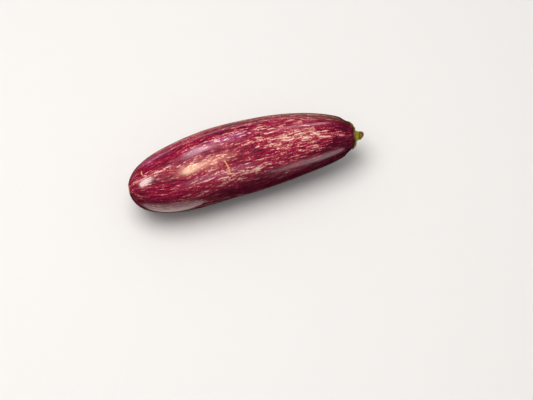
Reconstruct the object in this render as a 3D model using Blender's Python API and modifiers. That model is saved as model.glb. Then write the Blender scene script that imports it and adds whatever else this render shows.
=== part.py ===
"""A striped eggplant lying on its side: the fruit, its calyx and the cut stub of its stem.

Units are metres and +Z is up. The fruit lies along X on a small flat spot, with the blossom end
at -X and the stem end at +X. Every piece is modelled straight, along its own local Z with the
middle of the fruit's length at the origin, and is then bent about one common centre, so that the
fruit curves away to +Y at its middle. The box of the whole object stands on z = 0, centred on X
and Y.
"""

import math

import bmesh
import bpy
from mathutils import Matrix, Vector

MM = 0.001

# Driving dimensions of the fruit. Distances are measured along it from the blossom end.
FRUIT_LENGTH = 192.4 * MM
BELLY_AT = 96.5 * MM
BELLY_RADIUS = 30.5 * MM
SHOULDER_AT = 184.6 * MM
SHOULDER_RADIUS = 15.4 * MM
SHOULDER_SLOPE = math.radians(45)
END_FACE_RADIUS = 6.5 * MM
BEND_RADIUS = 515.0 * MM
FLAT_SPOT_DEPTH = 0.8 * MM

# How full the fruit's outline is between those places: the lengths of its curves' handles.
BLOSSOM_FULLNESS = 25.5 * MM
BELLY_BACK_HANDLE = 56.0 * MM
BELLY_FRONT_HANDLE = 33.0 * MM
SHOULDER_HANDLE = 8.0 * MM
END_FACE_HANDLE = 4.6 * MM

# Calyx: a leathery cap with pointed sepals that hugs the stem end.
CALYX_GAP = 0.35 * MM
CALYX_THICKNESS = 1.2 * MM
CALYX_BOSS_RADIUS = 5.2 * MM
CALYX_BOSS_HEIGHT = 0.5 * MM
CALYX_FLARE_RADIUS = 7.0 * MM
CALYX_TURN = math.radians(-145)
SEPAL_TIP_RADII = (10.4 * MM, 12.8 * MM, 14.0 * MM, 14.2 * MM, 12.6 * MM)
SEPAL_NOTCH_RADIUS = 9.4 * MM
SEPAL_POINTEDNESS = 1.3
STAR_DEPTH = 30.0 * MM

# Stub of the stem, cut off at a slant.
STEM_GAP = 0.3 * MM
STEM_BASE_RADIUS = 4.9 * MM
STEM_RADIUS = 3.4 * MM
STEM_FLARE = 2.2 * MM
STEM_LENGTH = 6.6 * MM
STEM_CUT_TILT = math.radians(36)
STEM_CUT_TURN = math.radians(-113)

# Facets
FRUIT_SIDES = 48
CALYX_SIDES = 60
STEM_SIDES = 24
BLOSSOM_STEPS = 12
BELLY_STEPS = 14
SHOULDER_STEPS = 5
MERGE_DISTANCE = 0.00001

# Colours, as linear values
SKIN_COLOUR = (0.17, 0.012, 0.045, 1.0)
CALYX_COLOUR = (0.21, 0.15, 0.03, 1.0)
STEM_COLOUR = (0.29, 0.26, 0.02, 1.0)


def clear_scene():
    """Remove every object and any collection left from an earlier run."""
    for old in list(bpy.data.objects):
        bpy.data.objects.remove(old, do_unlink=True)
    for old in list(bpy.data.collections):
        bpy.data.collections.remove(old)


def new_collection(name):
    """Add a collection to the scene."""
    collection = bpy.data.collections.new(name)
    bpy.context.scene.collection.children.link(collection)
    return collection


def new_material(name, colour, roughness):
    """A non-metal with one colour and roughness."""
    material = bpy.data.materials.new(name)
    material.use_nodes = True
    shader = material.node_tree.nodes["Principled BSDF"]
    shader.inputs["Base Color"].default_value = colour
    shader.inputs["Roughness"].default_value = roughness
    shader.inputs["Metallic"].default_value = 0.0
    return material


def bezier(start, start_handle, end_handle, end, steps):
    """Points on a cubic Bezier curve, from start up to the last one before end."""
    points = []
    for step in range(steps):
        t = step / steps
        weights = ((1 - t) ** 3, 3 * (1 - t) ** 2 * t, 3 * (1 - t) * t**2, t**3)
        corners = (start, start_handle, end_handle, end)
        points.append(sum((w * c for w, c in zip(weights, corners)), Vector((0, 0))))
    return points


def fruit_outline():
    """Half the fruit's outline as (radius, distance from the blossom end), blossom end first."""
    pole = Vector((0, 0))
    belly = Vector((BELLY_RADIUS, BELLY_AT))
    shoulder = Vector((SHOULDER_RADIUS, SHOULDER_AT))
    end_face = Vector((END_FACE_RADIUS, FRUIT_LENGTH))
    taper = Vector((-math.sin(SHOULDER_SLOPE), math.cos(SHOULDER_SLOPE)))
    points = bezier(
        pole,
        Vector((BLOSSOM_FULLNESS, 0)),
        Vector((BELLY_RADIUS, BELLY_AT - BELLY_BACK_HANDLE)),
        belly,
        BLOSSOM_STEPS,
    )
    points += bezier(
        belly,
        Vector((BELLY_RADIUS, BELLY_AT + BELLY_FRONT_HANDLE)),
        shoulder - taper * SHOULDER_HANDLE,
        shoulder,
        BELLY_STEPS,
    )
    points += bezier(
        shoulder,
        shoulder + taper * END_FACE_HANDLE,
        end_face + Vector((END_FACE_HANDLE, 0)),
        end_face,
        SHOULDER_STEPS,
    )
    return points + [end_face, Vector((0, FRUIT_LENGTH))]


def offset_outline(points, distance):
    """An open outline moved sideways, away from the fruit, by a distance."""
    moved = []
    for index, point in enumerate(points):
        before = points[max(index - 1, 0)]
        after = points[min(index + 1, len(points) - 1)]
        along = (after - before).normalized()
        moved.append(point + Vector((along.y, -along.x)) * distance)
    return moved


def turned(name, outline, sides, collection):
    """Turn (radius, distance) points about local Z. The first point is at the stem side."""
    mesh = bpy.data.meshes.new(name)
    corners = [(radius, 0, distance - FRUIT_LENGTH / 2) for radius, distance in outline]
    edges = [(i, i + 1) for i in range(len(corners) - 1)]
    mesh.from_pydata(corners, edges, [])
    piece = bpy.data.objects.new(name, mesh)
    collection.objects.link(piece)
    screw = piece.modifiers.new("turn", "SCREW")
    screw.axis = "Z"
    screw.steps = sides
    screw.render_steps = sides
    screw.use_merge_vertices = True
    screw.merge_threshold = MERGE_DISTANCE
    screw.use_smooth_shade = True
    return piece


def cut(piece, cutter, operation):
    """Cut a piece with a closed mesh, exactly."""
    boolean = piece.modifiers.new(cutter.name, "BOOLEAN")
    boolean.object = cutter
    boolean.operation = operation
    boolean.solver = "EXACT"


def bend(piece, near, far):
    """Bend a piece whose local Z runs from near to far, about the fruit's centre of curvature."""
    deform = piece.modifiers.new("bend", "SIMPLE_DEFORM")
    deform.deform_method = "BEND"
    deform.deform_axis = "X"
    deform.angle = -(far - near) / BEND_RADIUS


def lay_down(piece, frame):
    """Turn a piece from its own Z onto the frame's X."""
    piece.parent = frame
    piece.rotation_euler = (0, math.pi / 2, 0)


def new_cutter(name, shape, collection, frame):
    """Make a hidden cutting body from a bmesh."""
    mesh = bpy.data.meshes.new(name)
    shape.to_mesh(mesh)
    shape.free()
    cutter = bpy.data.objects.new(name, mesh)
    cutter.hide_render = True
    cutter.display_type = "WIRE"
    cutter.parent = frame
    collection.objects.link(cutter)
    return cutter


def build_fruit(parts, cutters, frame):
    """The fruit: one turned solid, bent, with a small flat spot under its belly."""
    outline = list(reversed(fruit_outline()))
    fruit = turned("fruit", outline, FRUIT_SIDES, parts)
    bend(fruit, 0, FRUIT_LENGTH)
    lay_down(fruit, frame)

    ground_height = 20 * MM
    shape = bmesh.new()
    size = (2 * FRUIT_LENGTH, 4 * BELLY_RADIUS, ground_height)
    below = Vector((0, 0, FLAT_SPOT_DEPTH - BELLY_RADIUS - ground_height / 2))
    bmesh.ops.create_cube(shape, size=1, matrix=Matrix.LocRotScale(below, None, size))
    ground = new_cutter("flat_spot_cutter", shape, cutters, frame)
    cut(fruit, ground, "DIFFERENCE")
    return fruit


def calyx_outline():
    """The calyx's closed outline: along its top from the axis to the rim, and back underneath."""
    stem_side = [p for p in fruit_outline() if p.y >= SHOULDER_AT - SHOULDER_HANDLE]
    under = offset_outline(stem_side, CALYX_GAP)
    under[-1].x = 0
    over = offset_outline(stem_side[:-1], CALYX_GAP + CALYX_THICKNESS)
    boss_top = FRUIT_LENGTH + CALYX_GAP + CALYX_THICKNESS + CALYX_BOSS_HEIGHT
    flat_top = [p for p in over if p.x > CALYX_FLARE_RADIUS]
    boss = [Vector((0, boss_top)), Vector((CALYX_BOSS_RADIUS, boss_top))]
    return boss + list(reversed(flat_top)) + under


def sepal_reach(angle):
    """How far the calyx reaches from its axis at an angle: a tip in each sepal's middle."""
    count = len(SEPAL_TIP_RADII)
    turns = (angle - CALYX_TURN) / (2 * math.pi) * count
    tip = SEPAL_TIP_RADII[round(turns) % count]
    nearness = abs(math.cos(math.pi * turns)) ** SEPAL_POINTEDNESS
    return SEPAL_NOTCH_RADIUS + (tip - SEPAL_NOTCH_RADIUS) * nearness


def build_calyx(parts, cutters, frame):
    """The calyx: a turned cap trimmed to five pointed sepals."""
    outline = calyx_outline()
    calyx = turned("calyx", outline, CALYX_SIDES, parts)
    bend(calyx, min(p.y for p in outline), max(p.y for p in outline))
    lay_down(calyx, frame)

    shape = bmesh.new()
    bmesh.ops.create_cone(
        shape,
        cap_ends=True,
        segments=2 * CALYX_SIDES,
        radius1=1,
        radius2=1,
        depth=STAR_DEPTH,
        matrix=Matrix.Translation((0, 0, FRUIT_LENGTH / 2)),
    )
    for corner in shape.verts:
        radius = sepal_reach(math.atan2(corner.co.y, corner.co.x))
        corner.co.x *= radius
        corner.co.y *= radius
    star = new_cutter("sepal_outline", shape, cutters, frame)
    bend(star, 0, STAR_DEPTH)
    lay_down(star, frame)
    cut(calyx, star, "INTERSECT")
    return calyx


def build_stem(parts, cutters, frame):
    """The stub of the stem: a short flared stalk with a slanting cut."""
    base = FRUIT_LENGTH + CALYX_GAP + CALYX_THICKNESS + CALYX_BOSS_HEIGHT + STEM_GAP
    tip = base + STEM_LENGTH
    uncut_tip = tip + STEM_LENGTH / 2
    outline = [
        Vector((0, uncut_tip)),
        Vector((STEM_RADIUS, uncut_tip)),
        Vector((STEM_RADIUS, base + STEM_FLARE)),
        Vector((STEM_BASE_RADIUS, base)),
        Vector((0, base)),
    ]
    stem = turned("stem", outline, STEM_SIDES, parts)

    shape = bmesh.new()
    block = 20 * MM
    tilt = Matrix.Rotation(STEM_CUT_TURN, 4, "Z") @ Matrix.Rotation(STEM_CUT_TILT, 4, "Y")
    slant_rise = STEM_RADIUS * math.tan(STEM_CUT_TILT)
    centre = Matrix.Translation((0, 0, tip - FRUIT_LENGTH / 2 - slant_rise))
    raised = Matrix.Translation((0, 0, block / 2))
    bmesh.ops.create_cube(shape, size=block, matrix=centre @ tilt @ raised)
    knife = new_cutter("stem_cut", shape, cutters, frame)
    lay_down(knife, frame)
    cut(stem, knife, "DIFFERENCE")
    bend(stem, base, tip)
    lay_down(stem, frame)
    return stem


def centre_on_origin(pieces, frame):
    """Move the frame so that the pieces' common box stands on z = 0, centred on X and Y."""
    bpy.context.view_layer.update()
    graph = bpy.context.evaluated_depsgraph_get()
    corners = []
    for piece in pieces:
        solid = piece.evaluated_get(graph)
        corners += [solid.matrix_world @ vertex.co for vertex in solid.data.vertices]
    low = Vector(min(corner[axis] for corner in corners) for axis in range(3))
    high = Vector(max(corner[axis] for corner in corners) for axis in range(3))
    frame.location -= Vector(((low.x + high.x) / 2, (low.y + high.y) / 2, low.z))
    bpy.context.view_layer.update()


def main():
    """Build the eggplant."""
    clear_scene()
    parts = new_collection("eggplant")
    cutters = new_collection("eggplant_cutters")
    frame = bpy.data.objects.new("eggplant_frame", None)
    parts.objects.link(frame)

    fruit = build_fruit(parts, cutters, frame)
    fruit.data.materials.append(new_material("eggplant_skin", SKIN_COLOUR, 0.25))
    calyx = build_calyx(parts, cutters, frame)
    calyx.data.materials.append(new_material("calyx_leather", CALYX_COLOUR, 0.6))
    stem = build_stem(parts, cutters, frame)
    stem.data.materials.append(new_material("green_stem", STEM_COLOUR, 0.45))
    centre_on_origin((fruit, calyx, stem), frame)


main()
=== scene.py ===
"""The looks of a striped eggplant: its fruit, calyx and stem, on a plain studio floor.

The file is laid out as a Blender add-on. Every size is in metres. Places on the skin are given by
the distance along it from the middle of the blossom scar, and by the angle round it from straight
up, where positive is towards +Y, the outside of the bend.
"""

import math

import bpy
import numpy as np
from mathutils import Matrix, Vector


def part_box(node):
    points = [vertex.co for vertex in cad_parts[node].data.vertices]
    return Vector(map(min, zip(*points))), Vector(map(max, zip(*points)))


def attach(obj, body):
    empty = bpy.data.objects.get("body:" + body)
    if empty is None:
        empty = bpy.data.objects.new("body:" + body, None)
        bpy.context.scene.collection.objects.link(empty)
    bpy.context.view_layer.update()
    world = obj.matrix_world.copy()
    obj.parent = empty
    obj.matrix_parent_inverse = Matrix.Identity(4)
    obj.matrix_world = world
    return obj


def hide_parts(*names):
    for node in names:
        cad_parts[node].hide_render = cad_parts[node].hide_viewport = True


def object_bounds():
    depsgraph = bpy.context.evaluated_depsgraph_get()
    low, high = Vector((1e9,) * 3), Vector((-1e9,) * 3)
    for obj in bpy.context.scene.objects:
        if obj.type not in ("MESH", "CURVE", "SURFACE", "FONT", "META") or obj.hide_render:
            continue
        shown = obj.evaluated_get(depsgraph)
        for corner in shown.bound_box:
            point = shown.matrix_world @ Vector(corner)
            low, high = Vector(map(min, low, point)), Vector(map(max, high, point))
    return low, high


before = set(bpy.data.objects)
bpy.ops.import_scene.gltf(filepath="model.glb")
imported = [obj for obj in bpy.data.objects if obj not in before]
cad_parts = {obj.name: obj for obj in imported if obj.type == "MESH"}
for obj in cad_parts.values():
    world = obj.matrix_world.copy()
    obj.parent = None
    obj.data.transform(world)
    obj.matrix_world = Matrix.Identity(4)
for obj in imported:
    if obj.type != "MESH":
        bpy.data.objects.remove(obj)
CAD_BOX = [list(corner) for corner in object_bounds()]

bl_info = {
    "name": "Striped Eggplant",
    "version": (1, 0, 0),
    "blender": (4, 5, 0),
    "location": "3D View > Sidebar > Eggplant",
    "description": "Adds a striped eggplant with its calyx and cut stem",
    "category": "Add Mesh",
}

MM = 0.001
BODY = "root"
SKIN_RADIUS = 30.0 * MM

# Angles round the fruit: its outer side, out of the bend and up, and the side not darkened by
# painted shade.
OUTER_SIDE = math.radians(60)
LIT_SIDE = math.radians(25)

# Corky scratches on the skin: place along it, angle in degrees, length, width, turn in degrees
# from straight round the fruit, and bow.
SCRATCHES = (
    (92.0 * MM, -42.5, 12.5 * MM, 1.1 * MM, -7.0, 0.9 * MM),
    (23.4 * MM, 4.5, 7.0 * MM, 0.9 * MM, 4.0, -0.4 * MM),
    (25.6 * MM, -6.0, 3.8 * MM, 0.8 * MM, -50.0, 0.2 * MM),
    (126.4 * MM, -14.5, 3.8 * MM, 0.6 * MM, -14.0, 0.3 * MM),
    (135.4 * MM, -50.0, 3.0 * MM, 0.6 * MM, 62.0, 0.0),
    (61.0 * MM, 118.0, 8.0 * MM, 0.7 * MM, -20.0, 0.6 * MM),
    (148.0 * MM, 150.0, 5.0 * MM, 0.7 * MM, 74.0, 0.3 * MM),
)

# Where the pale flecks crowd together, or keep away if below 0: place along the skin, angle in
# degrees, length, width, strength.
CROWDED = (
    (150.0 * MM, -32.0, 62.0 * MM, 30.0 * MM, 1.0),
    (130.0 * MM, 1.0, 34.0 * MM, 10.0 * MM, 1.0),
    (108.0 * MM, -57.0, 66.0 * MM, 12.0 * MM, 0.45),
    (78.0 * MM, -38.0, 22.0 * MM, 10.0 * MM, 0.9),
    (74.0 * MM, 29.0, 30.0 * MM, 9.0 * MM, 0.9),
    (96.0 * MM, 9.0, 30.0 * MM, 7.0 * MM, 0.8),
    (184.0 * MM, -24.0, 40.0 * MM, 12.0 * MM, 0.8),
    (112.0 * MM, -22.0, 44.0 * MM, 12.0 * MM, -0.3),
    (46.0 * MM, -2.0, 70.0 * MM, 34.0 * MM, -0.5),
    (150.0 * MM, -92.0, 90.0 * MM, 26.0 * MM, -0.7),
    (188.0 * MM, -46.0, 40.0 * MM, 14.0 * MM, -0.8),
    (104.0 * MM, 140.0, 80.0 * MM, 20.0 * MM, 0.8),
    (60.0 * MM, -150.0, 60.0 * MM, 16.0 * MM, 0.7),
    (150.0 * MM, 95.0, 60.0 * MM, 14.0 * MM, 0.7),
)

# Short prickles on the calyx: angle in degrees, distance from the stem's axis, height.
PRICKLES = (
    (36.0, 6.0 * MM, 1.3 * MM),
    (-128.0, 8.6 * MM, 1.2 * MM),
    (150.0, 8.0 * MM, 1.5 * MM),
)


def linear(hex_code):
    """An sRGB hex code as linear red, green, blue and alpha."""
    channels = [int(hex_code[i : i + 2], 16) / 255 for i in (0, 2, 4)]
    dark = [c / 12.92 if c <= 0.04045 else ((c + 0.055) / 1.055) ** 2.4 for c in channels]
    return (*dark, 1.0)


def length(name, description, default):
    """A size in metres that a user can change."""
    return bpy.props.FloatProperty(
        name=name, description=description, default=default, unit="LENGTH", precision=4
    )


def turn(name, description, degrees):
    """An angle that a user can change."""
    return bpy.props.FloatProperty(
        name=name, description=description, default=math.radians(degrees), subtype="ANGLE"
    )


def colour(name, description, hex_code):
    """A colour that a user can change."""
    return bpy.props.FloatVectorProperty(
        name=name,
        description=description,
        default=linear(hex_code),
        subtype="COLOR",
        size=4,
        min=0,
        max=1,
    )


class EggplantFruit(bpy.types.PropertyGroup):
    """Sizes of the fruit."""

    length: length("Length", "Along the middle line, end to end", 192.4 * MM)
    blossom_fullness: length("Blossom fullness", "Handle at the blossom end", 25.5 * MM)
    belly_at: length("Belly place", "Blossom end to the widest place", 96.5 * MM)
    belly_radius: length("Belly radius", "Half the greatest thickness", 30.5 * MM)
    belly_back: length("Belly back", "Handle from the belly to the blossom end", 56 * MM)
    belly_front: length("Belly front", "Handle from the belly to the shoulder", 33 * MM)
    shoulder_at: length("Shoulder place", "Blossom end to the shoulder", 184.6 * MM)
    shoulder_radius: length("Shoulder radius", "Half the shoulder's width", 15.4 * MM)
    shoulder_handle: length("Shoulder handle", "How straight the shoulder is", 8 * MM)
    shoulder_slope: turn("Shoulder slope", "From the axis", 45)
    end_radius: length("End radius", "Half the flat end's width", 6.5 * MM)
    end_handle: length("End handle", "How round the stem end is", 4.6 * MM)
    bend_radius: length("Bend radius", "Radius of the middle line's arc", 515 * MM)
    flat_depth: length("Flat spot depth", "How far the belly is pressed in", 0.8 * MM)
    waviness: length("Waviness", "Height of the skin's slow waves", 0.2 * MM)
    flatter: length("Flatter side", "How far the outer side is flattened", 0.9 * MM)
    flatter_at: length("Flatter place", "Scar to the middle of the flatter side", 120 * MM)
    tip_lean: length("Tip lean", "How far the blossom end leans to one side", 1.5 * MM)
    tip_side: turn("Tip side", "The way that the blossom end leans", 55)
    tip_reach: length("Tip reach", "How far along the lean goes", 44 * MM)
    scar_radius: length("Blossom scar", "Radius of the corky scar", 4.4 * MM)
    scar_offset: length("Scar offset", "From the axis to the scar", 6.5 * MM)
    scar_side: turn("Scar side", "The way that the scar is off the axis", 85)
    scar_reach: length("Scar reach", "How far the streaks bend to the scar", 46 * MM)
    rows: bpy.props.IntProperty(name="Rows", description="Rings along the skin", default=330)
    columns: bpy.props.IntProperty(name="Columns", description="Points in a ring", default=288)


class EggplantSkin(bpy.types.PropertyGroup):
    """Colours of the skin, with painted shade below and a painted reflection by the calyx."""

    crimson: colour("Crimson", "The purple-red skin", "9A123A")
    plum: colour("Plum", "Darker streaks", "560C28")
    # Painted shade: a dark colour laid over the lower side, standing in for shade there.
    painted_shade_tone: colour("Dusk", "The lower side", "3A081C")
    rose: colour("Rose", "Where pigment thins out", "C04A5C")
    cream: colour("Cream", "Flecks with little pigment", "EFB2A0")
    ivory: colour("Ivory", "The middle of the palest flecks", "FAE4D2")
    # Painted reflection: the brown of the surroundings, laid on the upper outer side towards the
    # calyx.
    painted_brown_reflection: colour("Blush", "The brown tinge round the calyx", "5E2C18")
    cork: colour("Cork", "Healed scratches and the blossom scar", "EEAA64")
    dry: colour("Dry edge", "Rim of the blossom scar", "86502C")


class EggplantCalyx(bpy.types.PropertyGroup):
    """Sizes and colours of the calyx and the stem."""

    first_sepal: turn("First sepal", "Its angle", -35)
    first_tip: length("First tip", "Axis to the first sepal's tip", 10.4 * MM)
    second_tip: length("Second tip", "Axis to the second sepal's tip", 11.8 * MM)
    third_tip: length("Third tip", "Axis to the third sepal's tip", 14.0 * MM)
    fourth_tip: length("Fourth tip", "Axis to the fourth sepal's tip", 14.2 * MM)
    fifth_tip: length("Fifth tip", "Axis to the fifth sepal's tip", 12.4 * MM)
    notch: length("Notch radius", "Axis to the notch of two sepals", 9.4 * MM)
    thickness: length("Thickness", "Of the leathery leaf", 1.0 * MM)
    seat: length("Seat", "Skin to the stem's seat", 1.9 * MM)
    lift: length("Lift", "How far the dry edges stand off the fruit", 0.4 * MM)
    stem_radius: length("Stem radius", "Half the stem's thickness", 3.5 * MM)
    stem_flare: length("Stem flare", "How much wider the stem's foot is", 1.7 * MM)
    stem_length: length("Stem length", "Seat to the long side of the cut", 7.4 * MM)
    stem_aside: length("Stem offset", "How far off the axis the stem grew", 0.8 * MM)
    stem_side: turn("Stem side", "The way that the stem is off the axis", -125)
    cut_tilt: turn("Cut tilt", "Slant of the cut", 36)
    cut_side: turn("Cut side", "The stem's short side", -48)
    olive: colour("Olive", "The calyx near the stem", "A89C30")
    tan: colour("Tan", "The calyx's dry edges", "A8762E")
    brown: colour("Brown", "Rims and wounds", "42280F")
    pale: colour("Pale", "Dry prickles and pith", "E2D2A8")
    green: colour("Green", "The stem's side", "B0AA12")
    bark: colour("Bark", "The stem's cut face", "86701A")


class EggplantStage(bpy.types.PropertyGroup):
    """The camera, the floor and the lights."""

    azimuth: turn("Azimuth", "The way that the camera looks, from +Y", -19.05)
    elevation: turn("Elevation", "The camera's height above the horizon", 56.4)
    distance: length("Distance", "Camera to the point it aims at", 1.642)
    aim_right: length("Aim right", "How far right of the middle the camera aims", 0.0174)
    aim_down: length("Aim down", "How far below the middle the camera aims", 0.0361)
    lens: bpy.props.FloatProperty(name="Lens", description="Focal length in mm", default=135)
    floor: colour("Floor", "A plain pale table top", "F5F4F3")
    floor_size: length("Floor size", "Side of the square floor", 8)
    room: bpy.props.FloatProperty(name="Room", description="Light from all round", default=0.42)


# ---------------------------------------------------------------- shapes


def bezier(corners, count=400):
    """A cubic Bezier curve: its corners weighted by (1-t)^3, 3(1-t)^2 t, 3(1-t)t^2 and t^3."""
    t = np.linspace(0, 1, count)[:, None]
    weights = np.hstack([(1 - t) ** 3, 3 * (1 - t) ** 2 * t, 3 * (1 - t) * t**2, t**3])
    return weights @ np.array(corners)


def fruit_outline(fruit):
    """Half the fruit's outline as (distance along the axis, radius), from pole to pole.

    Three Bezier curves run from the blossom end to the belly, on to the shoulder and round to the
    flat end, and a straight line closes it at the axis.
    """
    taper = np.array([math.cos(fruit.shoulder_slope), -math.sin(fruit.shoulder_slope)])
    along, out = np.array([1, 0]), np.array([0, 1])
    belly = fruit.belly_at * along + fruit.belly_radius * out
    shoulder = fruit.shoulder_at * along + fruit.shoulder_radius * out
    end = fruit.length * along + fruit.end_radius * out
    blossom = (0 * out, fruit.blossom_fullness * out, belly - fruit.belly_back * along, belly)
    before = shoulder - fruit.shoulder_handle * taper
    after = shoulder + fruit.end_handle * taper
    neck = (belly, belly + fruit.belly_front * along, before, shoulder)
    corner = (shoulder, after, end + fruit.end_handle * out, end)
    pole = fruit.length * along
    return np.vstack([bezier(blossom), bezier(neck)[1:], bezier(corner)[1:], [pole]])


def arc_lengths(points):
    """The distance from the first point to each point, along the points."""
    return np.concatenate([[0], np.cumsum(np.linalg.norm(np.diff(points, axis=0), axis=1))])


def along_outline(points, distances):
    """Points and outward normals of an outline at distances along it, by straight interpolation."""
    arc = arc_lengths(points)
    tangents = np.gradient(points, arc, axis=0)
    place = np.stack([np.interp(distances, arc, points[:, i]) for i in (0, 1)], -1)
    tangent = np.stack([np.interp(distances, arc, tangents[:, i]) for i in (0, 1)], -1)
    normal = np.stack([-tangent[..., 1], tangent[..., 0]], -1)
    return place, normal / np.linalg.norm(normal, axis=-1, keepdims=True)


def bent(fruit, along, radius, angle):
    """Turn (along, radius, angle) into points on the fruit's bent middle line.

    The middle line is an arc of the bend radius about a centre on the -Y side, so a point at a
    sideways offset y is at (R + y) times the sine and cosine of its share of the arc. The whole
    is then moved to fill the box of the fruit's CAD solid.
    """
    outline = fruit_outline(fruit)
    low, high = (np.array(corner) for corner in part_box("fruit"))
    level = high[2] - fruit.belly_radius

    def curve(along, radius, angle):
        share = (along - fruit.length / 2) / fruit.bend_radius
        reach = fruit.bend_radius + radius * np.sin(angle)
        across = reach * np.cos(share) - fruit.bend_radius
        return np.stack([reach * np.sin(share), across, radius * np.cos(angle)], -1)

    everywhere = curve(outline[:, :1], outline[:, 1:], np.linspace(-math.pi, math.pi, 361))
    middle = (everywhere.min((0, 1)) + everywhere.max((0, 1))) / 2
    move = (low + high) / 2 - middle
    return curve(along, radius, angle) + np.array([move[0], move[1], level])


def closed_surface(name, rings, first_pole, last_pole):
    """A closed mesh of rings of points, with a fan of triangles to a pole at each end.

    Rings run towards +X and their points run from +Z to +Y, so that the faces point outwards.
    """
    rows, columns = rings.shape[:2]
    corners = np.vstack([rings.reshape(-1, 3), first_pole, last_pole])
    here = np.arange(columns)
    after = (here + 1) % columns
    row = np.arange(rows - 1)[:, None] * columns
    quads = np.stack([row + here, row + columns + here, row + columns + after, row + after], -1)
    last = (rows - 1) * columns
    pole = np.full(columns, rows * columns)
    start = np.stack([pole, here, after], -1)
    end = np.stack([last + here, pole + 1, last + after], -1)
    mesh = bpy.data.meshes.new(name)
    faces = start.tolist() + quads.reshape(-1, 4).tolist() + end.tolist()
    mesh.from_pydata(corners.tolist(), [], faces)
    mesh.shade_smooth()
    piece = bpy.data.objects.new(name, mesh)
    bpy.context.scene.collection.objects.link(piece)
    return piece


def remember(piece, name, rings, first_pole, last_pole):
    """Keep a vector for each point of a closed surface, for its material to read."""
    values = np.vstack([rings.reshape(-1, 3), first_pole, last_pole]).astype(np.float32)
    layer = piece.data.attributes.new(name, "FLOAT_VECTOR", "POINT")
    layer.data.foreach_set("vector", values.ravel())


def unroll(piece, rows, columns):
    """A UV map that unrolls a closed surface: columns across, rows up, a pole at each edge."""
    step = 1 / columns
    left = np.arange(columns) * step
    right, middle = left + step, left + step / 2
    height = np.arange(1, rows + 1) / (rows + 1)
    flat = np.zeros(columns)
    start = (middle, flat), (left, flat + height[0]), (right, flat + height[0])
    end = (left, flat + height[-1]), (middle, flat + 1), (right, flat + height[-1])
    low, high = np.repeat(height[:-1], columns), np.repeat(height[1:], columns)
    lefts, rights = np.tile(left, rows - 1), np.tile(right, rows - 1)
    quads = (lefts, low), (lefts, high), (rights, high), (rights, low)
    corners = [np.stack([np.stack(uv, -1) for uv in face], 1) for face in (start, quads, end)]
    places = np.concatenate([face.reshape(-1, 2) for face in corners])
    layer = piece.data.uv_layers.new(name="OFBake")
    layer.data.foreach_set("uv", places.astype(np.float32).ravel())


def bump_at(distance, width):
    """A smooth bump of height 1: e to the minus square of distance over width."""
    return np.exp(-((distance / width) ** 2))


def smooth_step(value, low, high):
    """0 below low, 1 above high, and 3t^2 - 2t^3 between."""
    t = np.clip((value - low) / (high - low), 0, 1)
    return t * t * (3 - 2 * t)


def wrapped(angle):
    """An angle brought into the half turn either side of zero."""
    return (angle + math.pi) % (2 * math.pi) - math.pi


def grown_aside(fruit, arc, angle):
    """Where skin that would lie at an arc and angle is, as the scar grew to one side of the axis.

    On a flat map whose radius is the arc, points move towards the scar's side by its offset times
    (1 - (arc / reach)^2)^2, and then they are read back as an arc and an angle.
    """
    share = np.clip(arc / fruit.scar_reach, 0, 1)
    moved = fruit.scar_offset * (1 - share**2) ** 2
    sideways = arc * np.sin(angle) + moved * math.sin(fruit.scar_side)
    upwards = arc * np.cos(angle) + moved * math.cos(fruit.scar_side)
    return np.hypot(sideways, upwards), np.arctan2(sideways, upwards)


def fruit_relief(fruit, arc, angle, total):
    """How far the skin stands proud of the turned outline.

    Slow waves are products of cosines along and round the fruit, and are still at its ends. One
    side is a little flatter at the belly, five shallow ribs fade in towards the calyx, creases
    gather at the blossom end, the scar is a dish with a raised corky rim, and every scratch is a
    low ridge.
    """
    share = arc / total
    awake = np.clip(np.minimum(share, 1 - share) * 8, 0, 1)
    waves = (
        np.cos(2 * angle + 0.7 + 3.0 * share) * np.cos(9.1 * share + 0.4)
        + 0.7 * np.cos(3 * angle + 2.1 - 5.0 * share) * np.cos(17.3 * share + 1.9)
        + 0.5 * np.cos(5 * angle - 1.3 + 7.0 * share) * np.cos(26.9 * share + 0.8)
    )
    relief = fruit.waviness * waves * awake
    off_side = wrapped(angle - OUTER_SIDE)
    relief -= fruit.flatter * bump_at(arc - fruit.flatter_at, 30 * MM) * bump_at(off_side, 0.6)
    ribs = np.cos(5 * (angle + math.radians(71)))
    relief += 0.22 * MM * ribs * bump_at(total - arc - 20 * MM, 14 * MM)
    creases = np.cos(9 * angle + 0.5) + 0.6 * np.cos(14 * angle + 2.0)
    relief += 0.06 * MM * creases * bump_at(arc - 8 * MM, 4.5 * MM)
    relief -= 0.7 * MM * bump_at(arc, 3.2 * MM)
    relief += 0.25 * MM * bump_at(arc - fruit.scar_radius, 1.0 * MM)
    relief += 0.18 * MM * np.cos(7 * angle + 1.0) * bump_at(arc - 3.2 * MM, 1.2 * MM)
    for place, degrees, extent, width, lean, bow in SCRATCHES:
        lean = math.radians(lean)
        round_way = wrapped(angle - math.radians(degrees)) * SKIN_RADIUS
        onward = arc - place
        share = 2 * (round_way * math.cos(lean) + onward * math.sin(lean)) / extent
        off = onward * math.cos(lean) - round_way * math.sin(lean) + bow * share**2
        relief += 0.15 * MM * bump_at(off, width / 2) * smooth_step(1.1 - np.abs(share), 0, 0.4)
    return relief


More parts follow.
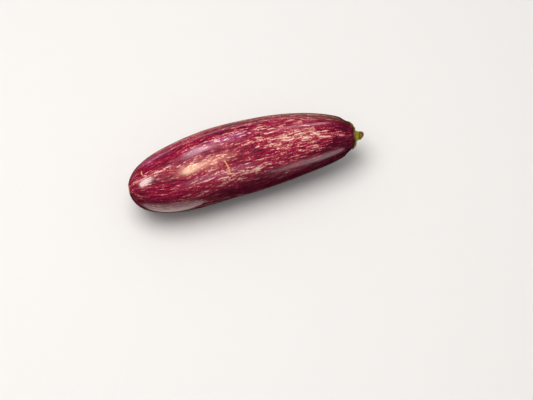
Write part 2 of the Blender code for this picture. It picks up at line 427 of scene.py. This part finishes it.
def make_fruit_mesh(fruit):
    """The fruit's skin on a grid of rows along the outline and columns round the axis.

    The lowest points are pressed flat with a soft edge: h + w ln(1 + e^((z - h) / w)).
    """
    outline = fruit_outline(fruit)
    total = arc_lengths(outline)[-1]
    rows = np.linspace(0, total, fruit.rows + 2)[1:-1, None]
    columns = np.linspace(-math.pi, math.pi, fruit.columns, endpoint=False)[None, :]
    rows, columns = np.broadcast_arrays(rows, columns)

    def skin_at(arc, angle):
        relief = fruit_relief(fruit, arc, angle, total)
        arc, angle = grown_aside(fruit, arc, angle)
        place, normal = along_outline(outline, arc)
        along = place[..., 0] + normal[..., 0] * relief
        radius = place[..., 1] + normal[..., 1] * relief
        points = bent(fruit, along, radius, angle)
        leaning = fruit.tip_lean * (1 - smooth_step(along, 0, fruit.tip_reach))[..., None]
        points += leaning * np.array([0, math.sin(fruit.tip_side), math.cos(fruit.tip_side)])
        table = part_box("fruit")[1].z - 2 * fruit.belly_radius + fruit.flat_depth
        edge = 0.12 * MM
        above = (points[..., 2] - table) / edge
        soft = table + edge * np.log1p(np.exp(np.minimum(above, 30)))
        points[..., 2] = np.where(above < 30, soft, points[..., 2])
        return points

    ends = skin_at(np.array([0, total]), np.zeros(2))
    piece = closed_surface("eggplant_skin", skin_at(rows, columns), *ends)
    meridian = np.stack([np.sin(columns), np.cos(columns), rows / SKIN_RADIUS], -1) * SKIN_RADIUS
    remember(piece, "meridian", meridian, (0, 0, 0), (0, 0, total))
    unroll(piece, fruit.rows, fruit.columns)
    return piece


def sepal_reach(fruit, calyx, angle):
    """How far the calyx reaches along the skin at an angle, and the place across its sepal.

    The place runs from -1 to 1 between two notches. The radius falls from the sepal's tip as
    1 - |place|^1.3, with a few cosines for a torn edge, and the outline turns it into a distance.
    """
    outline = fruit_outline(fruit)
    arc = arc_lengths(outline)
    near = outline[:, 0] > fruit.length - 20 * MM
    distances, radii = arc[-1] - arc[near][::-1], outline[near, 1][::-1]
    tips = (calyx.first_tip, calyx.second_tip, calyx.third_tip, calyx.fourth_tip, calyx.fifth_tip)
    turns = (calyx.first_sepal - angle) / (2 * math.pi) * len(tips)
    which = np.round(turns).astype(int)
    across = 2 * (turns - which)
    pointed = 1 - np.abs(across) ** 1.3
    radius = calyx.notch + (np.array(tips)[which % len(tips)] - calyx.notch) * pointed
    torn = 0.12 * np.cos(17 * angle + 1) + 0.1 * np.cos(31 * angle + 2)
    return np.interp(radius + torn * MM, radii, distances), across


def make_calyx_mesh(fruit, calyx):
    """The calyx: a leaf that follows the fruit's end, from its underside over the rim to its top.

    Its height over the skin is a lift that grows to the dry edge, plus a thickness that thins
    towards the edge, a seat under the stem, a rib down each sepal with a furrow between two, fine
    veins, a crumpled edge and three short prickles. It lies closest on the fruit's outer side.
    """
    columns, under_rows, top_rows = 300, 26, 90
    angle = np.linspace(-math.pi, math.pi, columns, endpoint=False)[None, :]
    reach, across = sepal_reach(fruit, calyx, angle)
    share = np.concatenate([np.linspace(0.02, 1, under_rows), np.linspace(1, 0.012, top_rows)])
    share = share[:, None]
    is_top = (np.arange(len(share)) >= under_rows)[:, None]
    distance = share * reach
    outline = fruit_outline(fruit)
    total = arc_lengths(outline)[-1]
    place, normal = along_outline(outline, total - distance)

    pressed = bump_at(wrapped(angle - OUTER_SIDE), 0.7)
    curl = 0.55 + 0.25 * np.cos(5 * angle + 0.4) - 0.5 * pressed
    lift = 0.12 * MM + calyx.lift * smooth_step(share, 0.6, 1.05) * curl
    thin = 1 - 0.6 * smooth_step(share, 0.6, 1.0)
    flare = np.maximum(distance - calyx.stem_radius, 0)
    seat = (calyx.seat - calyx.thickness) * bump_at(flare, 3.4 * MM)
    on_leaf = smooth_step(distance, 3.5 * MM, 7 * MM) * (1 - smooth_step(share, 0.85, 1.0))
    rib = 0.45 * MM * bump_at(across, 0.2) - 0.45 * MM * bump_at(np.abs(across) - 1, 0.22)
    veins = 0.1 * MM * np.cos(7 * math.pi * across + 3 * share)
    crumple = 0.09 * MM * np.cos(11 * angle + 700 * distance) * np.cos(1100 * distance + 3 * angle)
    top = calyx.thickness * thin * (1 - 0.4 * pressed * share) + seat
    top = top + (rib + veins) * on_leaf * (1 - 0.8 * pressed)
    top = top + crumple * smooth_step(share, 0.3, 0.6)
    for degrees, away, tall in PRICKLES:
        sideways = wrapped(angle - math.radians(degrees)) * distance
        near = np.clip(1 - np.hypot(sideways, distance - away) / (1.0 * MM), 0, 1)
        top = top + tall * near**1.5
    rim = smooth_step(share, 0.98, 1.0)
    height = lift + np.where(is_top, top * (1 - 0.5 * rim), 0.12 * calyx.thickness * rim)

    along = place[..., 0] + normal[..., 0] * height
    radius = place[..., 1] + normal[..., 1] * height
    middle = fruit.length + np.array([0.12 * MM, 0.12 * MM + calyx.seat])
    poles = bent(fruit, middle, np.zeros(2), np.zeros(2))
    piece = closed_surface("calyx_leaf", bent(fruit, along, radius, angle), *poles)
    girth = 8 * MM + 0 * distance
    rays = [girth * np.sin(angle), girth * np.cos(angle), distance]
    remember(piece, "rays", np.stack(rays, -1), (0, 0, 0), (0, 0, 0))
    zone = [share + 0 * distance, np.abs(across) + 0 * distance, height / MM]
    remember(piece, "zone", np.stack(zone, -1), (0, 0, 0), (0, 0, 1.9))
    return piece


def make_stem_mesh(fruit, calyx):
    """The stem's stub: rings up its side to the slanting cut, round its rim and into the cut face.

    The cut is a plane, so a point at radius r and angle a has the height h - r tan(tilt)
    cos(a - side). The foot flares into the calyx, the side tapers a little towards the cut and has
    five low ridges, and the rim of the cut is rounded and dried inwards.
    """
    columns, side_rows, face_rows = 160, 80, 40
    angle = np.linspace(-math.pi, math.pi, columns, endpoint=False)[None, :]
    slope = math.tan(calyx.cut_tilt) * np.cos(angle - calyx.cut_side)
    seat = fruit.length + calyx.seat
    foot = seat - 0.9 * MM
    middle = seat + calyx.stem_length - calyx.stem_radius * math.tan(calyx.cut_tilt)

    ridges = 1 + 0.025 * np.cos(5 * (angle - 0.4)) + 0.02 * np.cos(3 * angle + 1.2)
    climb = np.linspace(0, 1, side_rows)[:, None]
    rim_height = middle - calyx.stem_radius * slope
    height = foot + (rim_height - foot) * climb
    taper = 1.04 - 0.012 * (height - foot) / MM
    flare = calyx.stem_flare * bump_at(height - foot, 2.0 * MM)
    groove = 0.05 * MM * np.cos(19 * angle + 1) * smooth_step(climb, 0.2, 0.5)
    rounding = 0.5 * MM * smooth_step(climb, 0.86, 1.0) ** 2
    side = calyx.stem_radius * ridges * taper + flare + groove - rounding

    inwards = np.linspace(1, 0.02, face_rows)[1:, None]
    face = side[-1:] * inwards
    ring = 0.08 * MM * smooth_step(inwards, 0.72, 0.88) * (1 - smooth_step(inwards, 0.9, 1.0))
    cracks = 0.12 * MM * np.cos(6 * angle + 8 * inwards) * smooth_step(inwards, 0.1, 0.6)
    hollow = 0.45 * MM
    dish = hollow * (1 - inwards**2)
    face_height = middle - face * slope + ring + cracks * (1 - inwards) - dish

    along, radius = np.vstack([height, face_height]), np.vstack([side, face])
    sideways = radius * np.sin(angle) + calyx.stem_aside * math.sin(calyx.stem_side)
    upwards = radius * np.cos(angle) + calyx.stem_aside * math.cos(calyx.stem_side)
    rings = bent(fruit, along, np.hypot(sideways, upwards), np.arctan2(sideways, upwards))
    ends = np.array([foot, middle - hollow])
    aside = np.full(2, calyx.stem_aside)
    poles = bent(fruit, ends, aside, np.full(2, calyx.stem_side))
    piece = closed_surface("stem_stub", rings, *poles)
    shape = radius.shape
    on_side = np.broadcast_to(np.vstack([climb, np.ones_like(inwards)]), shape)
    inside = np.broadcast_to(np.vstack([np.ones_like(climb), inwards]), shape)
    zone = [on_side, inside, np.zeros(shape)]
    remember(piece, "zone", np.stack(zone, -1), (0, 1, 0), (1, 0, 0))
    rod = [radius * np.sin(angle), radius * np.cos(angle), along - foot]
    remember(piece, "rod", np.stack(rod, -1), (0, 0, 0), (0, 0, 0))
    return piece


# ---------------------------------------------------------------- materials


def add(tree, kind, *inputs, take=0, **settings):
    """Add a node with its settings, set or link its open inputs in order, and return an output."""
    node = tree.nodes.new(f"ShaderNode{kind}")
    for name, setting in settings.items():
        setattr(node, name, setting)
    for socket, value in zip((s for s in node.inputs if s.enabled), inputs):
        if isinstance(value, bpy.types.NodeSocket):
            tree.links.new(value, socket)
        else:
            socket.default_value = value
    return [s for s in node.outputs if s.enabled][take]


def new_material(name):
    """An empty material, its node tree and its shader's inputs."""
    material = bpy.data.materials.new(name)
    material.use_nodes = True
    tree = material.node_tree
    return material, tree, tree.nodes["Principled BSDF"].inputs


def streaks(tree, place, width, extent, seed, detail=2.0):
    """Noise drawn out along the skin: blotches about width across and extent long, in metres."""
    scale = (1 / width, 1 / width, 1 / extent)
    drawn_out = add(tree, "Mapping", place, (seed, 2 * seed, 3 * seed), (0, 0, 0), scale)
    return add(tree, "TexNoise", drawn_out, 1.0, detail, 0.55)


def blended(tree, *shares):
    """A sum of values, each times its weight."""
    total = 0.0
    for value, weight in shares:
        total = add(tree, "Math", value, weight, total, operation="MULTIPLY_ADD")
    return total


def fade(tree, value, start, end, bottom=0.0, top=1.0):
    """A value carried smoothly from start..end to bottom..top, and held beyond them."""
    inputs = (value, start, end, bottom, top)
    return add(tree, "MapRange", *inputs, interpolation_type="SMOOTHSTEP")


def painted(tree, ground, *coats):
    """A ground colour with coats of colour over it, each where its mask says."""
    for mask, coat in coats:
        ground = add(tree, "Mix", mask, ground, coat, data_type="RGBA")
    return ground


def skin_axes(tree, angle, distance, place, degrees, lean):
    """Distances from a place on the skin, along and across a line that leans from round it."""
    turned = add(tree, "Math", angle, math.radians(degrees), operation="SUBTRACT")
    short = add(tree, "Math", turned, math.pi, -math.pi, operation="WRAP")
    round_way = add(tree, "Math", short, SKIN_RADIUS, operation="MULTIPLY")
    onward = add(tree, "Math", distance, place, operation="SUBTRACT")
    cosine, sine = math.cos(math.radians(lean)), math.sin(math.radians(lean))
    return (
        blended(tree, (round_way, cosine), (onward, sine)),
        blended(tree, (onward, cosine), (round_way, -sine)),
    )


def crowding(tree, angle, distance):
    """Where the flecks crowd together: soft ovals added up."""
    total = 0.0
    for place, degrees, extent, width, strength in CROWDED:
        across, onward = skin_axes(tree, angle, distance, place, degrees, 0)
        oval = add(tree, "CombineXYZ", across, onward, 0.0)
        scaled = add(tree, "VectorMath", oval, (2 / width, 2 / extent, 0), operation="MULTIPLY")
        apart = add(tree, "VectorMath", scaled, operation="LENGTH")
        total = add(tree, "Math", fade(tree, apart, 1.3, 0.2, 0.0, strength), total)
    return total


def scratch_marks(tree, angle, distance, ragged):
    """Healed scratches: thin bowed lines with ragged edges."""
    total = 0.0
    for place, degrees, extent, width, lean, bow in SCRATCHES:
        u, v = skin_axes(tree, angle, distance, place, degrees, lean)
        share = add(tree, "Math", u, 2 / extent, operation="MULTIPLY")
        square = add(tree, "Math", share, share, operation="MULTIPLY")
        off = add(tree, "Math", blended(tree, (v, 1.0), (square, bow)), operation="ABSOLUTE")
        line = fade(tree, blended(tree, (off, 1.0), (ragged, 0.35 * MM)), width * 0.65, width * 0.3)
        whole = add(tree, "Math", line, fade(tree, square, 1.1, 0.7), operation="MULTIPLY")
        total = add(tree, "Math", total, whole, operation="MAXIMUM")
    return total


def eggplant_skin(fruit, skin):
    """Waxy eggplant skin, grown: pigment laid down in broken lengthwise streaks.

    Purple pigment under a thin clear wax gives a deep, glossy crimson. Where pigment is missing,
    the cream flesh shows as flecks about 1 mm wide and 3 to 10 mm long.
    """
    material, tree, shader = new_material("eggplant_skin")
    straight = add(tree, "Attribute", attribute_name="meridian", take=1)
    sideways = add(tree, "SeparateXYZ", straight, take=0)
    upwards = add(tree, "SeparateXYZ", straight, take=1)
    angle = add(tree, "Math", sideways, upwards, operation="ARCTAN2")
    distance = add(tree, "SeparateXYZ", straight, take=2)
    drift = add(tree, "TexNoise", straight, 1 / (26 * MM), 1.0, 0.5, take=1)
    fray = add(tree, "TexNoise", straight, 1 / (2.2 * MM), 2.0, 0.6, take=1)
    half = (0.5, 0.5, 0.5)
    drift = add(tree, "VectorMath", drift, half, operation="SUBTRACT")
    fray = add(tree, "VectorMath", fray, half, operation="SUBTRACT")
    place = add(
        tree, "VectorMath", drift, (5 * MM, 5 * MM, 2 * MM), straight, operation="MULTIPLY_ADD"
    )
    place = add(
        tree, "VectorMath", fray, (0.9 * MM, 0.9 * MM, 1.5 * MM), place, operation="MULTIPLY_ADD"
    )

    tone = streaks(tree, place, 12 * MM, 60 * MM, 3.1)
    bands = streaks(tree, place, 9 * MM, 66 * MM, 4.4)
    dashes = streaks(tree, place, 1.5 * MM, 9 * MM, 5.5)
    hairs = streaks(tree, place, 0.8 * MM, 7 * MM, 7.3, 1.0)
    specks = streaks(tree, place, 0.9 * MM, 1.6 * MM, 8.9, 1.0)
    crowded = crowding(tree, angle, distance)
    to_end = fade(tree, distance, 150 * MM, 208 * MM)
    marks = blended(tree, (dashes, 0.5), (hairs, 0.35), (specks, 0.25), (bands, 0.35))
    level = blended(tree, (marks, 1.0), (crowded, 0.06), (to_end, -0.02), (-0.225, 1.0))

    # Painted shade: the skin's colour darkens away from the lit side, most of all on the lower
    # side.
    towards_lit_side = add(tree, "Math", angle, LIT_SIDE, operation="SUBTRACT")
    towards_lit_side = add(tree, "Math", towards_lit_side, operation="COSINE")
    painted_shade = fade(tree, blended(tree, (towards_lit_side, 1.0), (tone, 0.8)), 0.9, -0.05, 0.0, 0.75)
    outer_side = add(tree, "Math", angle, OUTER_SIDE, operation="SUBTRACT")
    outer_side = add(tree, "Math", outer_side, operation="COSINE")
    # Painted reflection: brown over the upper outer side towards the stem end, and a thinner coat
    # over the flecks there.
    reflection_reach = blended(tree, (distance, 1.0), (tone, 40 * MM), (outer_side, 180 * MM))
    painted_reflection_mask = fade(tree, reflection_reach, 305 * MM, 365 * MM)
    reddened = blended(tree, (level, 1.0), (tone, 0.2), (to_end, -0.05))
    colours = painted(
        tree,
        skin.plum,
        (fade(tree, reddened, 0.5, 0.575), skin.crimson),
        (add(tree, "Math", painted_reflection_mask, 0.8, operation="MULTIPLY"), skin.painted_brown_reflection),
        (fade(tree, level, 0.5, 0.585, 0.0, 0.85), skin.rose),
        (fade(tree, level, 0.575, 0.63), skin.cream),
        (fade(tree, level, 0.635, 0.69), skin.ivory),
        (add(tree, "Math", painted_reflection_mask, 0.3, operation="MULTIPLY"), skin.painted_brown_reflection),
        (painted_shade, skin.painted_shade_tone),
    )

    grit = streaks(tree, straight, 1.0 * MM, 1.0 * MM, 2.7, 3.0)
    ragged = add(tree, "Math", grit, 0.5, operation="SUBTRACT")
    scratches = scratch_marks(tree, angle, distance, ragged)
    to_scar = blended(tree, (distance, 1.0), (ragged, 2.4 * MM))
    scar = fade(tree, to_scar, fruit.scar_radius * 1.05, fruit.scar_radius * 0.85)
    colours = painted(
        tree,
        colours,
        (fade(tree, to_scar, fruit.scar_radius * 1.3, fruit.scar_radius), skin.dry),
        (scar, skin.cork),
        (fade(tree, to_scar, 1.9 * MM, 1.0 * MM), skin.dry),
        (scratches, skin.cork),
    )
    corky = add(tree, "Math", scratches, scar, operation="MAXIMUM")
    smears = streaks(tree, place, 8 * MM, 14 * MM, 1.1)
    wax = fade(tree, smears, 0.3, 0.7, 0.18, 0.26)
    rough = add(tree, "Mix", corky, wax, 0.75, data_type="FLOAT")
    height = blended(tree, (hairs, 0.5), (grit, 0.5), (corky, 1.5))
    bump = add(tree, "Bump", 0.5, 0.08 * MM, 1.0, height)

    tree.links.new(colours, shader["Base Color"])
    tree.links.new(rough, shader["Roughness"])
    tree.links.new(bump, shader["Normal"])
    tree.links.new(fade(tree, corky, 0.0, 1.0, 0.25, 0.0), shader["Coat Weight"])
    # Plant wax under a thin clear coat gives a soft highlight with a crisper one inside it.
    shader["IOR"].default_value = 1.45
    shader["Specular IOR Level"].default_value = 0.4
    shader["Coat Roughness"].default_value = 0.1
    shader["Coat IOR"].default_value = 1.4
    return material


def calyx_leather(calyx):
    """A leathery green leaf, drying: olive by the stem, tan and brown at its thin edges.

    Its veins run out from the stem, so dark streaks about 1 mm wide do too. It has a dull, dry
    shine. The zone attribute holds the share of the way out, the place across the sepal and the
    height over the skin in millimetres.
    """
    material, tree, shader = new_material("calyx_leather")
    rays = add(tree, "Attribute", attribute_name="rays", take=1)
    zone = add(tree, "Attribute", attribute_name="zone", take=1)
    share = add(tree, "SeparateXYZ", zone, take=0)
    aside = add(tree, "SeparateXYZ", zone, take=1)
    tall = add(tree, "SeparateXYZ", zone, take=2)
    veins = streaks(tree, rays, 0.9 * MM, 5 * MM, 1.7, 3.0)
    spots = streaks(tree, rays, 1.8 * MM, 2.6 * MM, 6.3, 3.0)
    edge = blended(tree, (share, 1.0), (spots, 0.7), (veins, 0.3), (-0.5, 1.0))
    creased = blended(tree, (aside, 1.0), (share, 0.35), (veins, 0.5))
    colours = painted(
        tree,
        calyx.olive,
        (fade(tree, edge, 0.4, 0.75), calyx.tan),
        (fade(tree, veins, 0.52, 0.36, 0.0, 0.75), calyx.brown),
        (fade(tree, creased, 1.15, 1.5, 0.0, 0.7), calyx.brown),
        (fade(tree, edge, 0.84, 1.0), calyx.brown),
        (fade(tree, tall, 2.2, 2.7), calyx.pale),
    )
    height = blended(tree, (veins, 1.0), (spots, 0.6))
    tree.links.new(colours, shader["Base Color"])
    tree.links.new(fade(tree, edge, 0.4, 0.9, 0.42, 0.7), shader["Roughness"])
    tree.links.new(add(tree, "Bump", 0.6, 0.4 * MM, 1.0, height), shader["Normal"])
    shader["IOR"].default_value = 1.45
    return material


def green_stem(calyx):
    """A firm green stalk, cut: yellow-green ridged bark, with a dried brown wound and tan pith.

    The zone attribute holds the share of the way up the side and the share of the cut's radius.
    """
    material, tree, shader = new_material("green_stem")
    place = add(tree, "Attribute", attribute_name="rod", take=1)
    zone = add(tree, "Attribute", attribute_name="zone", take=1)
    climb = add(tree, "SeparateXYZ", zone, take=0)
    inside = add(tree, "SeparateXYZ", zone, take=1)
    fibres = streaks(tree, place, 0.9 * MM, 4 * MM, 4.0)
    spots = add(tree, "TexNoise", place, 1 / (1.8 * MM), 4.0, 0.6)
    wear = blended(tree, (climb, 1.0), (spots, 0.6), (-0.3, 1.0))
    bark = painted(
        tree,
        calyx.green,
        (fade(tree, climb, 0.5, 0.0), calyx.olive),
        (fade(tree, fibres, 0.5, 0.36, 0.0, 0.5), calyx.brown),
        (fade(tree, wear, 0.84, 1.04), calyx.brown),
    )
    face = painted(
        tree,
        calyx.bark,
        (fade(tree, blended(tree, (inside, 1.0), (spots, 0.4)), 0.62, 0.4), calyx.tan),
        (fade(tree, blended(tree, (inside, 1.0), (spots, 0.3)), 0.98, 1.12), calyx.brown),
    )
    on_face = fade(tree, inside, 0.999, 0.98)
    colours = painted(tree, bark, (on_face, face))
    height = blended(tree, (fibres, 1.0), (spots, 0.6))
    tree.links.new(colours, shader["Base Color"])
    tree.links.new(fade(tree, on_face, 0.0, 1.0, 0.42, 0.8), shader["Roughness"])
    tree.links.new(add(tree, "Bump", 0.5, 0.25 * MM, 1.0, height), shader["Normal"])
    shader["IOR"].default_value = 1.45
    return material


def table_top(stage):
    """A plain pale board with a soft, even finish, so that only the light shows on it."""
    material, tree, shader = new_material("pale_table")
    mottle = add(tree, "TexNoise", add(tree, "TexCoord", take=3), 40.0, 3.0)
    shader["Base Color"].default_value = stage.floor
    tree.links.new(fade(tree, mottle, 0.3, 0.7, 0.6, 0.7), shader["Roughness"])
    # Chalky matte paint: no sheen, so low views of it stay as pale as high ones.
    shader["Specular IOR Level"].default_value = 0.0
    return material


# ---------------------------------------------------------------- operators


def hand_over(piece, node, material):
    """Dress a piece, put it on the body and let it stand for its CAD node."""
    piece.data.materials.append(material)
    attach(piece, BODY)
    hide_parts(node)


class EGGPLANT_OT_fruit(bpy.types.Operator):
    """Add the fruit: a smooth bent berry with streaked skin and a blossom scar"""

    bl_idname = "eggplant.fruit"
    bl_label = "Add Fruit"

    def execute(self, context):
        scene = context.scene
        piece = make_fruit_mesh(scene.eggplant_fruit)
        material = eggplant_skin(scene.eggplant_fruit, scene.eggplant_skin)
        hand_over(piece, "fruit", material)
        return {"FINISHED"}


class EGGPLANT_OT_calyx(bpy.types.Operator):
    """Add the calyx: five dry-edged sepals that hug the stem end"""

    bl_idname = "eggplant.calyx"
    bl_label = "Add Calyx"

    def execute(self, context):
        scene = context.scene
        piece = make_calyx_mesh(scene.eggplant_fruit, scene.eggplant_calyx)
        hand_over(piece, "calyx", calyx_leather(scene.eggplant_calyx))
        return {"FINISHED"}


class EGGPLANT_OT_stem(bpy.types.Operator):
    """Add the stem: a short green stub with a slanting cut"""

    bl_idname = "eggplant.stem"
    bl_label = "Add Stem"

    def execute(self, context):
        scene = context.scene
        piece = make_stem_mesh(scene.eggplant_fruit, scene.eggplant_calyx)
        hand_over(piece, "stem", green_stem(scene.eggplant_calyx))
        return {"FINISHED"}


def soft_light(name, target, azimuth, elevation, distance, size, radiance, hex_code, glint=True):
    """An oval light that faces the target. Its power is radiance times pi times its area.

    Azimuth is in degrees from +X towards +Y, and the first side of its size lies level. A glint is
    a light that only shows as a highlight, and any other light only brightens.
    """
    a, e = math.radians(azimuth), math.radians(elevation)
    towards = Vector((math.cos(a) * math.cos(e), math.sin(a) * math.cos(e), math.sin(e)))
    data = bpy.data.lights.new(name, "AREA")
    data.shape = "ELLIPSE"
    data.size, data.size_y = size
    data.energy = radiance * math.pi * size[0] * size[1] * math.pi / 4
    data.color = linear(hex_code)[:3]
    light = bpy.data.objects.new(name, data)
    light.location = target + towards * distance
    light.rotation_euler = towards.to_track_quat("Z", "Y").to_euler()
    light.visible_diffuse = not glint
    light.visible_glossy = glint
    bpy.context.scene.collection.objects.link(light)


class EGGPLANT_OT_stage(bpy.types.Operator):
    """Add the camera, a plain pale floor and soft lights"""

    bl_idname = "eggplant.stage"
    bl_label = "Add Stage"

    def execute(self, context):
        scene = context.scene
        stage = scene.eggplant_stage
        low, high = (Vector(corner) for corner in CAD_BOX)
        middle = (low + high) / 2

        half = stage.floor_size / 2
        mesh = bpy.data.meshes.new("floor")
        corners = [(-half, -half, 0), (half, -half, 0), (half, half, 0), (-half, half, 0)]
        mesh.from_pydata(corners, [], [(0, 1, 2, 3)])
        floor = bpy.data.objects.new("floor", mesh)
        floor.data.materials.append(table_top(stage))
        scene.collection.objects.link(floor)
        floor.visible_glossy = False

        a, e = stage.azimuth, stage.elevation
        right = Vector((math.cos(a), math.sin(a), 0))
        back = Vector((math.sin(a) * math.cos(e), -math.cos(a) * math.cos(e), math.sin(e)))
        aim = middle + right * stage.aim_right - back.cross(right) * stage.aim_down
        data = bpy.data.cameras.new("camera")
        data.lens = stage.lens
        camera = bpy.data.objects.new("camera", data)
        camera.location = aim + back * stage.distance
        camera.rotation_euler = back.to_track_quat("Z", "Y").to_euler()
        scene.collection.objects.link(camera)
        scene.camera = camera

        # One broad light brightens. The others are set where the skin mirrors them to the camera.
        soft_light("overhead", middle, 165, 76, 1.4, (1.3, 1.3), 3.7, "FFFBF6", glint=False)
        soft_light("window", middle, 177, 39, 1.28, (0.58, 0.84), 21.0, "FFFDF4")
        soft_light("lamp", middle, -93, 70, 1.33, (0.18, 0.66), 38.0, "FFE4BC")
        soft_light("lilac_back", middle, 88, 61, 1.32, (0.16, 0.5), 20.0, "F0DCEC")
        soft_light("violet_back", middle, 77, 46, 1.32, (0.09, 0.3), 12.0, "AC90F4")
        soft_light("rosy_back", middle, 46, 43, 1.34, (0.16, 0.56), 8.0, "FFDCE0")
        soft_light("grey_front", middle, -85, 27, 1.33, (0.36, 0.46), 4.6, "CCC8DC")
        soft_light("violet_rim", middle, 105, 3, 1.3, (0.44, 0.13), 6.0, "9890EC")
        soft_light("pale_back", middle, 80, 6, 1.4, (1.6, 0.24), 1.6, "FFE4E6")

        # Glowing cards that lie on the table beside the fruit give its lower edges a pale rim.
        near_left = middle + Vector((-0.086, -0.051, 0))
        near_right = middle + Vector((0.094, -0.14, 0))
        behind = middle + Vector((0, 0.2, 0))
        soft_light("left_card", near_left, 0, -90, 0.029, (0.09, 0.055), 1.6, "FFF6EE")
        soft_light("right_card", near_right, 0, -90, 0.029, (0.1, 0.15), 3.0, "FFF2F2")
        soft_light("back_card", behind, 0, -90, 0.029, (0.5, 0.26), 0.45, "FFDCC8")

        world = bpy.data.worlds.new("pale_room")
        world.use_nodes = True
        world.node_tree.nodes["Background"].inputs["Color"].default_value = linear("FFFFFF")
        world.node_tree.nodes["Background"].inputs["Strength"].default_value = stage.room
        world.cycles_visibility.glossy = False
        scene.world = world
        scene.view_settings.view_transform = "Standard"
        return {"FINISHED"}


class EGGPLANT_PT_parts(bpy.types.Panel):
    """Lists the eggplant's pieces and its stage"""

    bl_label = "Striped Eggplant"
    bl_idname = "EGGPLANT_PT_parts"
    bl_space_type = "VIEW_3D"
    bl_region_type = "UI"
    bl_category = "Eggplant"

    def draw(self, context):
        for operator in OPERATORS:
            self.layout.operator(operator.bl_idname)


GROUPS = {
    "eggplant_fruit": EggplantFruit,
    "eggplant_skin": EggplantSkin,
    "eggplant_calyx": EggplantCalyx,
    "eggplant_stage": EggplantStage,
}
OPERATORS = (EGGPLANT_OT_fruit, EGGPLANT_OT_calyx, EGGPLANT_OT_stem, EGGPLANT_OT_stage)


def register():
    """Make the settings, the operators and the panel known to Blender."""
    for name, group in GROUPS.items():
        bpy.utils.register_class(group)
        setattr(bpy.types.Scene, name, bpy.props.PointerProperty(type=group))
    for kind in (*OPERATORS, EGGPLANT_PT_parts):
        bpy.utils.register_class(kind)


def unregister():
    """Undo register, in the opposite order."""
    for kind in (EGGPLANT_PT_parts, *reversed(OPERATORS)):
        bpy.utils.unregister_class(kind)
    for name, group in reversed(GROUPS.items()):
        delattr(bpy.types.Scene, name)
        bpy.utils.unregister_class(group)


def main():
    """Build every piece and the stage."""
    register()
    for operator in OPERATORS:
        group, name = operator.bl_idname.split(".")
        getattr(getattr(bpy.ops, group), name)()


if __name__ == "__main__":
    main()
